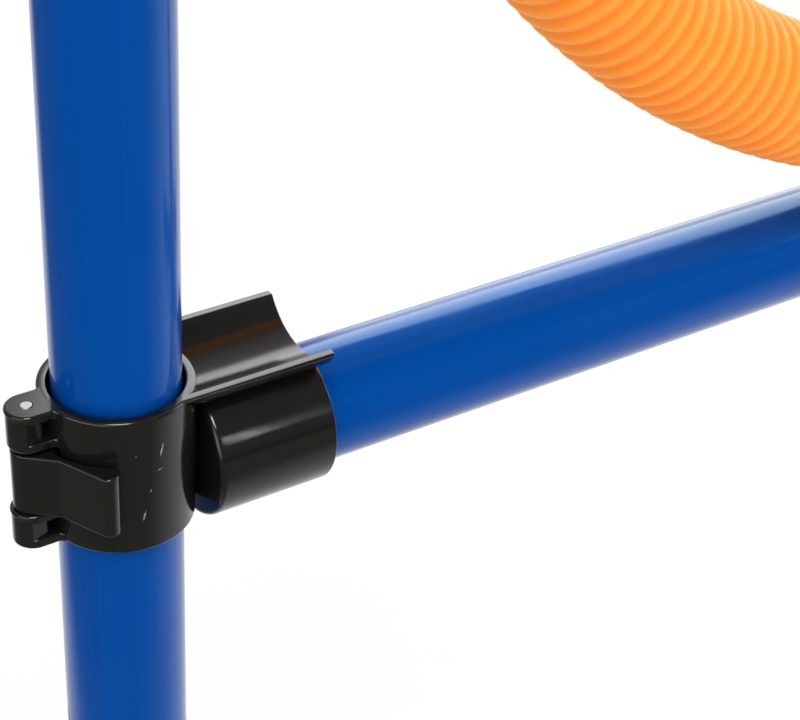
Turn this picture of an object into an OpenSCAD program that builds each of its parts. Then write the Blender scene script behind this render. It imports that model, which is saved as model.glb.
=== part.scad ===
// Agility tyre jump: a ring of ribbed hose between two crossbars, which slide on two uprights.
// Millimetres, Z up, X along the crossbars, Y towards the back, origin on the floor between the uprights.

/* [Tubes] */
// Outer diameter of every tube
tube_d = 30; // [26:0.5:34]
// Wall of every tube
tube_wall = 1.6; // [1.2:0.1:2.4]

/* [Frame] */
// Overall height, from the floor to the top of the upright caps
frame_h = 1150; // [1000:5:1400]
// Height of the lower crossbar's axis
bar_h = 300; // [200:5:400]
// Length of each of the four foot tubes
foot_tube_len = 200; // [140:5:300]

/* [Ring] */
// Diameter of the ring along the middle of its hose
ring_d = 493; // [420:1:560]
// Outer diameter of the hose over its ribs
hose_d = 36.6; // [32:0.2:42]
// Wall of the hose under its grooves
hose_wall = 1.4; // [1:0.1:2.5]
// Depth of the grooves between the ribs
groove_depth = 1.3; // [0.6:0.1:2]
// Number of ribs along the hose
rib_count = 200; // [80:4:200]
// Distance of the ring's plane in front of the uprights
ring_forward = 8.5; // [0:0.5:14]
// Gap between the hose and each upright
ring_side_gap = 10.5; // [4:0.5:40]
// Angle from the top at which the hose starts to straighten towards its coupler
straighten_angle = 30; // [24:1:45]

/* [Coupler] */
// Wall of the sleeve round the hose ends
coupler_wall = 2; // [1.2:0.1:4]
// Length of hose that each end pushes into the sleeve
coupler_grip = 32; // [16:1:36]
// Width of the stop between the hose ends
coupler_stop = 3; // [2:0.5:8]

/* [Straps] */
// Width of a strap
strap_w = 25; // [15:1:40]
// Thickness of a strap
strap_t = 1.9; // [1:0.1:3]

/* [Clamp] */
// Gap between the collar and the upright
collar_gap = 0.8; // [0.4:0.05:0.95]
// Wall of the collar
collar_wall = 2.4; // [1.8:0.1:4]
// Depth of the collar below the crossbar's axis
collar_drop = 12.5; // [8:0.5:20]
// How much slimmer the collar is at its bottom than at its top
collar_draft = 0.5; // [0:0.1:0.8]
// Rounding of the collar's rims
rim_r = 0.8; // [0.3:0.1:1]
// Wall of the socket round the crossbar
socket_wall = 3; // [2:0.1:5]
// Thickness of the socket's closed end
socket_end = 2.5; // [1.5:0.1:5]
// Length of the socket, its closed end included
socket_len = 31.6; // [20:0.2:45]
// Rounding of the socket's closed end
socket_end_r = 1.6; // [0.5:0.1:2]
// How far the socket's closed end sinks into the collar
socket_sink = 0.8; // [0.4:0.1:2]
// Gap between a crossbar and its socket
socket_gap = 0.3; // [0.1:0.05:0.6]
// Gap all round a hurdle pole of the tubes' size that lies in the gutter
gutter_gap = 1; // [0.5:0.1:3]
// Thickness of the gutter's floor above the socket's bore
gutter_floor = 2.1; // [1.5:0.1:4]
// Wall of the gutter's sides
gutter_wall = 2.2; // [1.5:0.1:4]
// Depth of the gutter
gutter_depth = 7.6; // [5:0.2:12]

/* [Lever] */
// Diameter of the hinge pin
pin_d = 3; // [2:0.1:4]
// Distance from the collar's outside to the pin's axis
pin_offset = 4.1; // [3.6:0.1:6]
// Radius of the ears round the pin
ear_r = 5.1; // [4:0.1:6]
// Height of the upper ear
ear_top_h = 11; // [8:0.5:14]
// Height of the lower ear
ear_bottom_h = 9.5; // [7:0.5:11]
// Wall left above and below the ears' moulded pockets
pocket_wall = 2.4; // [1.5:0.1:3]
// Wall left behind the ears' moulded pockets, either side of the middle
pocket_back = 1.2; // [0.8:0.1:2]
// Radius of the lever's hub
hub_r = 4.3; // [3.2:0.1:5]
// Gap between the closed cam and the upright
cam_gap = 0.25; // [0.15:0.05:0.6]
// Gap between the lever's plate and the collar
lever_gap = 0.8; // [0.4:0.1:2]
// Gap between the lever and each ear
lever_end_gap = 0.3; // [0.3:0.1:1]
// Angle from the pin to the bend in the lever's plate
lever_bend_angle = 21; // [18:1:28]
// Distance of the bend outside the collar
lever_bend_out = 2.4; // [2:0.1:4]
// Angle from the pin to the lever's round nose
lever_nose_angle = 57; // [45:1:75]
// Radius of the lever's round nose
lever_nose_r = 2.2; // [1.5:0.1:3]

/* [Foot] */
// Wall of the tee's sleeves and of the foot caps
foot_wall = 2.6; // [2:0.1:4]
// Height of the tee's upright sleeve above the foot tubes' axis
tee_rise = 65; // [45:1:90]
// Reach of the tee's sleeves along each foot tube
tee_reach = 46; // [30:1:70]
// Thickness of the stop between the foot tubes
tee_stop = 4; // [2:0.5:8]
// Thickness of the floor under the upright
tee_floor = 2.5; // [1.5:0.1:5]
// Thickness of the flat sole under the sleeves
sole_t = 0.6; // [0.4:0.1:3]
// Width of the flat sole
sole_w = 24; // [14:1:28]
// Depth to which a foot cap covers its tube
foot_cap_depth = 22; // [12:1:30]
// Thickness of a foot cap's closed end
foot_cap_end = 2.6; // [1.5:0.1:5]

/* [Upright cap] */
// Height of the cap's head above the tube
cap_head = 4; // [3:0.5:8]
// Rounding of the cap's head
cap_round = 2; // [1:0.1:2.5]
// How far the cap's head stands out beyond the tube
cap_lip = 0.8; // [0.3:0.1:1.5]
// Length of the cap's plug in the tube
cap_plug = 18; // [10:1:30]
// Wall of the cap's plug
cap_wall = 1.6; // [1:0.1:2.5]

/* [Hidden] */
$fn = 96;

blue = [0.02, 0.22, 0.55];
black = [0.12, 0.12, 0.12];
orange = [1, 0.55, 0.16];
steel = [0.75, 0.76, 0.78];

// Clearances of the fits
push_fit = 0.1;
press_fit = 0.02;
running_fit = 0.06;
seat_gap = 0.3;
// Overlap that makes a cut pass right through a face
cut = 1;

tube_r = tube_d / 2;
hose_r = hose_d / 2;
groove_r = hose_r - groove_depth;
hose_bore_r = groove_r - hose_wall;

// Path of the hose: a circle that straightens at the top for its coupler
ring_r = ring_d / 2;
hose_straight = hose_d;
straight_half = coupler_stop / 2 + hose_straight;
corner_offset = straight_half / sin(straighten_angle);
corner_r = ring_r - corner_offset;
ring_top = corner_offset * cos(straighten_angle) + corner_r;
arc_len = ring_r * (180 - straighten_angle) * PI / 180;
corner_len = corner_r * straighten_angle * PI / 180;
hose_half_len = arc_len + corner_len + hose_straight;
hose_sides = 8;
ribs_per_bore_ring = 4;

// Places of the ring between the crossbars
coupler_bore_r = hose_r + push_fit;
coupler_r = coupler_bore_r + coupler_wall;
strap_sag = strap_w * strap_w / (8 * ring_r);
lower_reach = tube_r + hose_r + strap_t + 2 * seat_gap + strap_sag;
upper_reach = tube_r + coupler_r + strap_t + 2 * seat_gap;
lower_rise = sqrt(lower_reach * lower_reach - ring_forward * ring_forward);
upper_rise = sqrt(upper_reach * upper_reach - ring_forward * ring_forward);
ring_z = bar_h + lower_rise + ring_r;
upper_bar_h = ring_z + ring_top + upper_rise;
half_span = ring_r + hose_r + ring_side_gap + tube_r;

// Clamp
collar_bore_r = tube_r + collar_gap;
collar_r = collar_bore_r + collar_wall;
socket_bore_r = tube_r + socket_gap;
socket_r = socket_bore_r + socket_wall;
socket_x = collar_r - socket_sink;
socket_seat = socket_x + socket_end;
socket_mouth = socket_x + socket_len;
gutter_r = tube_r + gutter_gap;
gutter_floor_z = socket_bore_r + gutter_floor;
gutter_axis_z = gutter_floor_z + gutter_r;
collar_top = gutter_floor_z + gutter_depth;
gutter_root = collar_bore_r / 2;
bar_len = 2 * (half_span - socket_seat);

// Ears and lever
pin_r = pin_d / 2;
pin_x = collar_r + pin_offset;
pocket_boss_r = pin_r + 1.5;
ear_fillet = 1.2;
lever_top = collar_top - ear_top_h - lever_end_gap;
lever_bottom = ear_bottom_h - collar_drop + lever_end_gap;
cam_reach = pin_x - tube_r - cam_gap;
window_r = cam_reach + 0.55;
plate_r = collar_r + lever_gap;

// Feet and uprights
sleeve_bore_r = tube_r + push_fit;
sleeve_r = sleeve_bore_r + foot_wall;
foot_z = sleeve_r + sole_t;
upright_seat = foot_z + sleeve_bore_r + tee_floor;
upright_top = frame_h - cap_head;
foot_tube_start = tee_stop / 2;
foot_tube_end = foot_tube_start + foot_tube_len;

// Straight tube along +Z
module tube(len) {
  difference() {
    cylinder(r = tube_r, h = len);
    translate([0, 0, -cut]) cylinder(r = tube_r - tube_wall, h = len + 2 * cut);
  }
}

// Solid of revolution about Z, of radius r0 at its bottom and r1 at its top, with rounded edges
module rounded_cylinder(r0, r1, z0, z1, round0, round1) {
  rotate_extrude() {
    union() {
      polygon([[0, z0], [r0 - round0, z0], [r0 - round0, z0 + round0], [r0, z0 + round0],
        [r1, z1 - round1], [r1 - round1, z1 - round1], [r1 - round1, z1], [0, z1]]);
      translate([r0 - round0, z0 + round0]) intersection() {
        circle(r = round0);
        translate([0, -round0]) square(round0);
      }
      translate([r1 - round1, z1 - round1]) intersection() {
        circle(r = round1);
        square(round1);
      }
    }
  }
}

// Puts a clamp's pieces on the left (-1) or right (1) upright at a height
module at_clamp(side, height) {
  translate([side * half_span, 0, height]) rotate([0, 0, side > 0 ? 180 : 0]) children();
}

module upright(side) {
  color(blue) translate([side * half_span, 0, upright_seat]) tube(upright_top - upright_seat);
}

module upright_cap(side) {
  head_r = tube_r + cap_lip;
  plug_r = tube_r - tube_wall - push_fit;
  color(black) translate([side * half_span, 0, upright_top]) difference() {
    union() {
      rounded_cylinder(head_r, head_r, 0, cap_head, cap_lip / 2, cap_round);
      translate([0, 0, -cap_plug]) cylinder(r = plug_r, h = cap_plug + cut);
    }
    translate([0, 0, -cap_plug - cut]) cylinder(r = plug_r - cap_wall, h = cap_plug + cut);
  }
}

module foot_sole(y0, y1) {
  translate([-sole_w / 2, y0, 0]) cube([sole_w, y1 - y0, foot_z]);
}

module tee(side) {
  color(black) translate([side * half_span, 0, 0]) difference() {
    union() {
      translate([0, tee_reach, foot_z]) rotate([90, 0, 0]) cylinder(r = sleeve_r, h = 2 * tee_reach);
      translate([0, 0, foot_z]) cylinder(r = sleeve_r, h = tee_rise);
      foot_sole(-tee_reach, tee_reach);
    }
    translate([0, 0, upright_seat]) cylinder(r = sleeve_bore_r, h = foot_z + tee_rise);
    for (end = [-1, 1])
      translate([0, end * foot_tube_start, foot_z]) rotate([-90 * end, 0, 0])
        cylinder(r = sleeve_bore_r, h = tee_reach);
  }
}

module foot_tube(side, end) {
  color(blue) translate([side * half_span, end * foot_tube_start, foot_z])
    rotate([-90 * end, 0, 0]) tube(foot_tube_len);
}

module foot_cap(side, end) {
  cap_start = foot_tube_end - foot_cap_depth;
  cap_end = foot_tube_end + foot_cap_end;
  color(black) translate([side * half_span, 0, 0]) rotate([0, 0, end > 0 ? 0 : 180]) difference() {
    union() {
      translate([0, 0, foot_z]) rotate([-90, 0, 0])
        rounded_cylinder(sleeve_r, sleeve_r, cap_start, cap_end, rim_r, rim_r);
      foot_sole(cap_start, cap_end);
    }
    translate([0, cap_start - cut, foot_z]) rotate([-90, 0, 0])
      cylinder(r = sleeve_bore_r, h = foot_cap_depth + cut);
  }
}

module crossbar(height) {
  color(blue) translate([-bar_len / 2, 0, height]) rotate([0, 90, 0]) tube(bar_len);
}

// Outline of an ear: a boss round the pin and a web that runs into the collar with small fillets
module ear_outline() {
  fillet_y = ear_r + ear_fillet;
  fillet_x = sqrt(pow(collar_r + ear_fillet, 2) - fillet_y * fillet_y);
  web_end = collar_bore_r + rim_r;
  web_root = fillet_x - 2 * ear_fillet;
  difference() {
    union() {
      translate([-pin_x, 0]) circle(r = ear_r);
      polygon([[-pin_x, -ear_r], [-pin_x, ear_r], [-fillet_x, fillet_y], [-web_root, fillet_y],
        [-web_root, -fillet_y], [-fillet_x, -fillet_y]]);
    }
    for (side = [-1, 1]) translate([-fillet_x, side * fillet_y]) circle(r = ear_fillet);
    circle(r = web_end);
  }
}

// One ear from z0 to z1, with a pocket moulded into its front
module ear(z0, z1) {
  pocket_w = pin_offset + pocket_boss_r / 2 + collar_wall / 2;
  difference() {
    translate([0, 0, z0]) linear_extrude(z1 - z0) ear_outline();
    difference() {
      translate([-pin_x - pocket_boss_r / 2, -2 * ear_r, z0 + pocket_wall])
        cube([pocket_w, 2 * ear_r - pocket_back, z1 - z0 - 2 * pocket_wall]);
      translate([-pin_x, 0, z0]) cylinder(r = pocket_boss_r, h = z1 - z0);
      cylinder(r = collar_r, h = 4 * collar_top, center = true);
    }
  }
}

// Socket for the crossbar and the gutter above it, before their bores are cut
module socket_and_gutter() {
  difference() {
    union() {
      rotate([0, 90, 0]) rounded_cylinder(socket_r, socket_r, socket_x, socket_mouth, socket_end_r, rim_r / 2);
      translate([gutter_root, 0, 0]) rotate([90, 0, 90]) linear_extrude(socket_mouth - gutter_root)
        difference() {
          translate([0, gutter_axis_z]) circle(r = gutter_r + gutter_wall);
          translate([-socket_r * 2, collar_top]) square([socket_r * 4, gutter_axis_z * 2]);
        }
    }
    translate([0, 0, gutter_axis_z]) rotate([0, 90, 0]) cylinder(r = gutter_r, h = socket_mouth + cut);
  }
}

module clamp(side, height) {
  color(black) at_clamp(side, height) difference() {
    union() {
      rounded_cylinder(collar_r - collar_draft, collar_r, -collar_drop, collar_top, rim_r, rim_r);
      socket_and_gutter();
      ear(collar_top - ear_top_h, collar_top);
      ear(-collar_drop, ear_bottom_h - collar_drop);
    }
    cylinder(r = collar_bore_r, h = 4 * collar_top, center = true);
    translate([socket_seat, 0, 0]) rotate([0, 90, 0]) cylinder(r = socket_bore_r, h = socket_len);
    translate([-pin_x, 0, 0]) cylinder(r = pin_r + press_fit, h = 4 * collar_top, center = true);
    translate([-pin_x, 0, ear_bottom_h - collar_drop])
      cylinder(r = window_r, h = lever_top - lever_bottom + 2 * lever_end_gap);
  }
}

// Point at which a line from a point touches a circle, on its left (1) or right (-1)
function touch_point(from, centre, r, side) =
  let (d = centre - from, far = norm(d), turn = atan2(d.y, d.x) + side * asin(r / far))
  from + sqrt(far * far - r * r) * [cos(turn), sin(turn)];

function polar(r, angle) = -r * [cos(angle), sin(angle)];

// Lever seen from above: a hub with a cam lobe, and a bent plate that ends in a round nose
module lever_outline() {
  pin = [-pin_x, 0];
  bend = polar(collar_r + lever_bend_out, lever_bend_angle);
  nose = polar(plate_r + lever_nose_r, lever_nose_angle);
  hub_touch = touch_point(bend, pin, hub_r, 1);
  nose_touch = touch_point(bend, nose, lever_nose_r, -1);
  union() {
    difference() {
      polygon([pin, hub_touch, bend, nose_touch, nose, polar(collar_bore_r, lever_nose_angle / 2)]);
      circle(r = plate_r);
    }
    translate(nose) circle(r = lever_nose_r);
    translate(pin) circle(r = hub_r);
    translate([cam_reach - hub_r, 0] + pin) circle(r = hub_r);
    translate([0, -hub_r] + pin) square([cam_reach - hub_r, 2 * hub_r]);
  }
}

module lever(side, height) {
  color(black) at_clamp(side, height) difference() {
    translate([0, 0, lever_bottom]) linear_extrude(lever_top - lever_bottom) lever_outline();
    translate([-pin_x, 0, 0]) cylinder(r = pin_r + running_fit, h = 4 * collar_top, center = true);
  }
}

module pin(side, height) {
  color(steel) at_clamp(side, height)
    translate([-pin_x, 0, -collar_drop]) cylinder(r = pin_r, h = collar_drop + collar_top);
}

// Place and heading of the hose's middle at a length from the ring's lowest point, as [x, z, heading]
function hose_place(len) =
  let (a = abs(len), s = sign(len))
  a < arc_len
    ? let (t = a / ring_r * 180 / PI) [s * ring_r * sin(t), -ring_r * cos(t), s * t]
    : a < arc_len + corner_len
      ? let (t = 180 - straighten_angle + (a - arc_len) / corner_r * 180 / PI)
        [s * (corner_offset * sin(straighten_angle) + corner_r * sin(t)),
         corner_offset * cos(straighten_angle) - corner_r * cos(t), s * t]
      : [s * (straight_half - (a - arc_len - corner_len)), ring_top, s * 180];

// One ring of points round the hose's middle
function hose_ring(len, r) =
  let (p = hose_place(len))
  [for (k = [0 : hose_sides - 1])
    let (out = r * cos(k * 360 / hose_sides), back = r * sin(k * 360 / hose_sides))
    [p[0] + out * sin(p[2]), back, p[1] - out * cos(p[2])]];

// Triangles between two rings of points, which start at index a and b
function band(a, b) =
  [for (k = [0 : hose_sides - 1])
    let (n = (k + 1) % hose_sides)
    each [[a + k, a + n, b + k], [a + n, b + n, b + k]]];

module ring_hose() {
  outer_rings = 2 * rib_count;
  bore_rings = rib_count / ribs_per_bore_ring;
  outer = [for (i = [0 : outer_rings])
    each hose_ring(hose_half_len * (2 * i / outer_rings - 1), i % 2 == 0 ? groove_r : hose_r)];
  bore = [for (i = [0 : bore_rings]) each hose_ring(hose_half_len * (2 * i / bore_rings - 1), hose_bore_r)];
  first_bore = len(outer);
  outer_faces = [for (i = [0 : outer_rings - 1]) each band(i * hose_sides, (i + 1) * hose_sides)];
  bore_faces = [for (i = [0 : bore_rings - 1])
    each band(first_bore + (i + 1) * hose_sides, first_bore + i * hose_sides)];
  first_end = band(first_bore, 0);
  last_end = band(outer_rings * hose_sides, first_bore + bore_rings * hose_sides);
  color(orange) translate([0, -ring_forward, ring_z])
    polyhedron(points = concat(outer, bore), faces = concat(outer_faces, bore_faces, first_end, last_end));
}

module ring_coupler() {
  half = coupler_stop / 2 + coupler_grip;
  color(black) translate([0, -ring_forward, ring_z + ring_top]) rotate([0, 90, 0]) difference() {
    rounded_cylinder(coupler_r, coupler_r, -half, half, rim_r, rim_r);
    cylinder(r = hose_bore_r, h = 4 * half, center = true);
    for (end = [0, 180]) rotate([0, end, 0])
      translate([0, 0, coupler_stop / 2]) cylinder(r = coupler_bore_r, h = 2 * half);
  }
}

// Band in a figure of eight, round a crossbar and round what lies at a place beside it
module strap(height, place, loop_r) {
  bar_loop_r = tube_r + seat_gap;
  color(black) translate([-strap_w / 2, 0, height]) rotate([90, 0, 90]) linear_extrude(strap_w) difference() {
    union() {
      circle(r = bar_loop_r + strap_t);
      translate(place) circle(r = loop_r + strap_t);
    }
    circle(r = bar_loop_r);
    translate(place) circle(r = loop_r);
  }
}

upright(-1);  // left_upright
upright(1);  // right_upright
upright_cap(-1);  // left_upright_cap
upright_cap(1);  // right_upright_cap
tee(-1);  // left_tee
tee(1);  // right_tee
foot_tube(-1, -1);  // left_front_foot_tube
foot_tube(-1, 1);  // left_back_foot_tube
foot_tube(1, -1);  // right_front_foot_tube
foot_tube(1, 1);  // right_back_foot_tube
foot_cap(-1, -1);  // left_front_foot_cap
foot_cap(-1, 1);  // left_back_foot_cap
foot_cap(1, -1);  // right_front_foot_cap
foot_cap(1, 1);  // right_back_foot_cap
crossbar(bar_h);  // lower_crossbar
crossbar(upper_bar_h);  // upper_crossbar
clamp(-1, bar_h);  // lower_left_clamp
clamp(1, bar_h);  // lower_right_clamp
clamp(-1, upper_bar_h);  // upper_left_clamp
clamp(1, upper_bar_h);  // upper_right_clamp
lever(-1, bar_h);  // lower_left_lever
lever(1, bar_h);  // lower_right_lever
lever(-1, upper_bar_h);  // upper_left_lever
lever(1, upper_bar_h);  // upper_right_lever
pin(-1, bar_h);  // lower_left_pin
pin(1, bar_h);  // lower_right_pin
pin(-1, upper_bar_h);  // upper_left_pin
pin(1, upper_bar_h);  // upper_right_pin
ring_hose();
ring_coupler();
strap(bar_h, [-ring_forward, lower_rise], hose_r + seat_gap + strap_sag);  // lower_strap
strap(upper_bar_h, [-ring_forward, -upper_rise], coupler_r + seat_gap);  // upper_strap
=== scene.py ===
import math

import bmesh
import bpy
from mathutils import Matrix, Vector


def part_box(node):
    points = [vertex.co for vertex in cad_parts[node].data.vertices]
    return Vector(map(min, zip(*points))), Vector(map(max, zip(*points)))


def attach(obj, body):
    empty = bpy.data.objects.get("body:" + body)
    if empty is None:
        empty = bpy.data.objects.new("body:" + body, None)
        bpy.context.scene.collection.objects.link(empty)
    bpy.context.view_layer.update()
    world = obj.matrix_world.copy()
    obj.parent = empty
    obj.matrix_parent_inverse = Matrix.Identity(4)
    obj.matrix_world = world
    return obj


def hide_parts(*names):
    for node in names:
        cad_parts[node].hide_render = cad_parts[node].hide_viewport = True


# Looks of an agility tyre jump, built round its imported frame.
# Metres, Z up, X along the crossbars, Y towards the back, origin on the floor between the uprights.
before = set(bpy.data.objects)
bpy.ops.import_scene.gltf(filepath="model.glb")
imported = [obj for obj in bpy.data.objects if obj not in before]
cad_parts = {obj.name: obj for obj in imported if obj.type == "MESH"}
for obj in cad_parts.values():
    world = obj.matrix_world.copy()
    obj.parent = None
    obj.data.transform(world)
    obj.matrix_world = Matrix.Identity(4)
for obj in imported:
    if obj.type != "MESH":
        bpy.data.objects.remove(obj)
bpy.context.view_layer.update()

MM = 0.001
SIDES = {"left": -1, "right": 1}
LEVELS = ("lower", "upper")


def middle(node):
    low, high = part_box(node)
    return (low + high) / 2


def extent(node):
    low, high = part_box(node)
    return high - low


# Sizes read from the frame
TUBE_R = extent("left_upright").x / 2
HALF_SPAN = middle("right_upright").x
BAR_Z = {level: middle(level + "_crossbar").z for level in LEVELS}
CLAMP_LOW, CLAMP_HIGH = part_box("lower_left_clamp")
PIN_LOW, PIN_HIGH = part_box("lower_left_pin")
LEVER_LOW, LEVER_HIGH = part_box("lower_left_lever")
PIN_X = middle("lower_left_pin").x + HALF_SPAN
PIN_R = extent("lower_left_pin").x / 2
COLLAR_TOP = PIN_HIGH.z - BAR_Z["lower"]
COLLAR_BOTTOM = PIN_LOW.z - BAR_Z["lower"]
LEVER_TOP = LEVER_HIGH.z - BAR_Z["lower"]
LEVER_BOTTOM = LEVER_LOW.z - BAR_Z["lower"]
SOCKET_R = BAR_Z["lower"] - CLAMP_LOW.z
SOCKET_MOUTH = CLAMP_HIGH.x + HALF_SPAN
SOCKET_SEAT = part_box("lower_crossbar")[0].x + HALF_SPAN
CORNER = Vector((-HALF_SPAN, 0, BAR_Z["lower"]))

# Clamp with its pin and lever, the same at all four corners
COLLAR_BORE_R = TUBE_R + 0.8 * MM
COLLAR_R = COLLAR_BORE_R + 2.4 * MM
COLLAR_DRAFT = 0.5 * MM
BORE_BOTTOM_ROUND = 0.3 * MM
BORE_TOP_ROUND = 0.5 * MM
RIM_ROUND = 0.8 * MM
EDGE_ROUND = 0.5 * MM
# A root ends in the middle of the collar's wall
ROOT_R = (COLLAR_BORE_R + COLLAR_R) / 2
SOCKET_X = COLLAR_R - 0.8 * MM
SOCKET_BORE_R = TUBE_R + 0.3 * MM
SOCKET_END_ROUND = 1.6 * MM
GUTTER_R = TUBE_R + 1 * MM
GUTTER_WALL = 2.2 * MM
SOCKET_ROOF = 2.1 * MM
GUTTER_AXIS_Z = SOCKET_BORE_R + SOCKET_ROOF + GUTTER_R
GUTTER_END_ROUND = 0.7 * EDGE_ROUND
# Degrees from the ends of the gutter's arcs to its rims
GUTTER_LEAD = 5
# Two shells of one moulding never share a face
FACE_STEP = 0.02 * MM
EAR_R = 5.1 * MM
EAR_FILLET = 1.2 * MM
EAR_TOP_H = 10.4 * MM
EAR_BOTTOM_H = 9.5 * MM
EAR_ROUND = 0.9 * MM
EAR_PLATE = 1.3 * MM
EAR_PLATE_TOP_ROUND = 0.65 * MM
EAR_PLATE_LOW_ROUND = EAR_PLATE / 3
EAR_OVERHANG = 0.25 * MM
EAR_LIP = 2.4 * MM
# A pocket in each ear's front starts shallow beside the pin, and deepens next to the collar
POCKET_START = PIN_X - 2.6 * MM
POCKET_HOLE = PIN_X + 2.2 * MM
POCKET_START_Y = -4.5 * MM
POCKET_EDGE_Y = -3.7 * MM
POCKET_WEB_Y = -1.2 * MM
POCKET_ROUND = 0.6 * MM
POCKET_START_ROUND = POCKET_ROUND / 2
PIN_GAP = 0.12 * MM
PIN_STAND_OUT = 0.12 * MM
PIN_ROUND = 0.3 * MM
LEVER_PIN_GAP = 3 * FACE_STEP
HUB_R = 4.3 * MM
CAM_GAP = 0.25 * MM
CAM_REACH = -PIN_X - TUBE_R - CAM_GAP
WINDOW_R = CAM_REACH + 0.55 * MM
LEVER_PLATE_R = COLLAR_R + 0.8 * MM
LEVER_BEND_R = COLLAR_R + 2.4 * MM
LEVER_BEND_ANGLE = 24
LEVER_BEND_ROUND = 1.5 * MM
LEVER_NOSE_ANGLE = 58
LEVER_NOSE_R = 2.4 * MM
LEVER_EDGE = 0.5 * MM

# Ring
HOSE_R = extent("ring_hose").y / 2
HOSE_PLANE_Y = middle("ring_hose").y
GROOVE_DEPTH = 0.85 * MM
HOSE_WALL = 1.8 * MM
RIB_PITCH = 5.46 * MM
RING_R = extent("ring_hose").x / 2 - HOSE_R
RING_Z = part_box("ring_hose")[0].z + HOSE_R + RING_R
STRAIGHTEN_ANGLE = math.radians(30)
COUPLER_STOP = 3 * MM

# How finely round shapes are divided
CORNER_STEPS = 5
TAPE_EDGE_STEPS = 3
DRUM_END_STEPS = 6
DRUM_STEP = 3 * MM
COLLAR_STEP = 2 * MM
GUTTER_STEPS = 40
EAR_STEPS = 36
HUB_STEPS = 16
NOSE_STEPS = 20
PLATE_STEPS = 24
CAM_STEPS = 24
CLAMP_SEGMENTS = 160
TEE_SEGMENTS = 144
WINDOW_SEGMENTS = 96
PIN_SEGMENTS = 48
HOSE_SIDES = 44


# Outlines

def arc(centre, radius, start, end, steps):
    """Points of an arc, with its angles in degrees."""
    angles = [math.radians(start + (end - start) * k / steps) for k in range(steps + 1)]
    return [Vector((centre[0] + radius * math.cos(a), centre[1] + radius * math.sin(a))) for a in angles]


def angle_of(point, centre):
    """Direction of a point from a centre, in degrees."""
    return math.degrees(math.atan2(point[1] - centre[1], point[0] - centre[0]))


def polar(radius, degrees):
    """Point in the clamp's plan, its angle counted from the pin's side towards the front."""
    a = math.radians(degrees)
    return Vector((-radius * math.cos(a), -radius * math.sin(a)))


def touch_point(start, centre, radius, side):
    """Where a line from start touches a circle, on its left (1) or right (-1)."""
    across = centre - start
    heading = math.atan2(across.y, across.x) + side * math.asin(radius / across.length)
    reach = math.sqrt(across.length ** 2 - radius ** 2)
    return start + reach * Vector((math.cos(heading), math.sin(heading)))


def rounded(corners, steps=CORNER_STEPS):
    """Closed outline through corners (x, y, radius), each rounded by an arc."""
    points = []
    for i, (x, y, radius) in enumerate(corners):
        here = Vector((x, y))
        before = (Vector(corners[i - 1][:2]) - here).normalized()
        after = (Vector(corners[(i + 1) % len(corners)][:2]) - here).normalized()
        if radius == 0:
            points.append(here)
            continue
        half = before.angle(after) / 2
        centre = here + (before + after).normalized() * radius / math.sin(half)
        start = here + before * radius / math.tan(half) - centre
        end = here + after * radius / math.tan(half) - centre
        turn = start.angle_signed(end)
        for k in range(steps + 1):
            spun = Matrix.Rotation(-turn * k / steps, 2) @ start
            points.append(centre + spun)
    return points


def divided(outline, longest):
    """Closed outline whose long sides are cut into shorter ones."""
    points = []
    for here, after in zip(outline, outline[1:] + outline[:1]):
        cuts = max(1, math.ceil((after - here).length / longest))
        points += [here.lerp(after, k / cuts) for k in range(cuts)]
    return points


def inset(outline, distance):
    """Counter-clockwise outline moved inwards."""
    moved = []
    for i, here in enumerate(outline):
        before = (here - outline[i - 1]).normalized()
        after = (outline[(i + 1) % len(outline)] - here).normalized()
        normal_a = Vector((-before.y, before.x))
        normal_b = Vector((-after.y, after.x))
        moved.append(here + (normal_a + normal_b) * distance / (1 + normal_a.dot(normal_b)))
    return moved


# Meshes

# Turns of a shape made about Z, to lie along X or along Y
ALONG_X = Matrix(((0, 0, 1, 0), (1, 0, 0, 0), (0, 1, 0, 0), (0, 0, 0, 1)))
ALONG_Y = Matrix(((0, 1, 0, 0), (0, 0, 1, 0), (1, 0, 0, 0), (0, 0, 0, 1)))
SMOOTH_ANGLE = math.radians(32)
POINT_MERGE = 0.001 * MM


def make(name, points, faces, turn=None):
    """Object with a mesh of points and faces, whose faces look outwards."""
    mesh = bpy.data.meshes.new(name)
    mesh.from_pydata([tuple(p) for p in points], [], faces)
    clean = bmesh.new()
    clean.from_mesh(mesh)
    bmesh.ops.recalc_face_normals(clean, faces=clean.faces)
    clean.to_mesh(mesh)
    clean.free()
    if turn:
        mesh.transform(turn)
    piece = bpy.data.objects.new(name, mesh)
    bpy.context.scene.collection.objects.link(piece)
    return piece


def loft(name, rings, loop=False, turn=None):
    """Mesh through rings of as many points each, closed to a loop or by flat ends."""
    count = len(rings[0])
    points = [p for ring in rings for p in ring]
    faces = []
    for i in range(len(rings) if loop else len(rings) - 1):
        here = i * count
        there = (i + 1) % len(rings) * count
        for k in range(count):
            after = (k + 1) % count
            faces.append((here + k, here + after, there + after, there + k))
    if not loop:
        faces.append(tuple(range(count)))
        faces.append(tuple(range(len(points) - count, len(points))))
    return make(name, points, faces, turn)


def lathe(name, profile, segments):
    """Solid of revolution about Z: the profile is a closed outline of (radius, height) off the axis."""
    rings = []
    for k in range(segments):
        a = math.tau * k / segments
        rings.append([(p[0] * math.cos(a), p[0] * math.sin(a), p[1]) for p in profile])
    return loft(name, rings, loop=True)


def turned(name, profile, segments, turn=None):
    """Solid of revolution about Z with flat ends: the profile runs from its first end to its last."""
    angles = [math.tau * k / segments for k in range(segments)]
    rings = []
    for radius, height in profile:
        rings.append([(radius * math.cos(a), radius * math.sin(a), height) for a in angles])
    return loft(name, rings, turn=turn)


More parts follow.
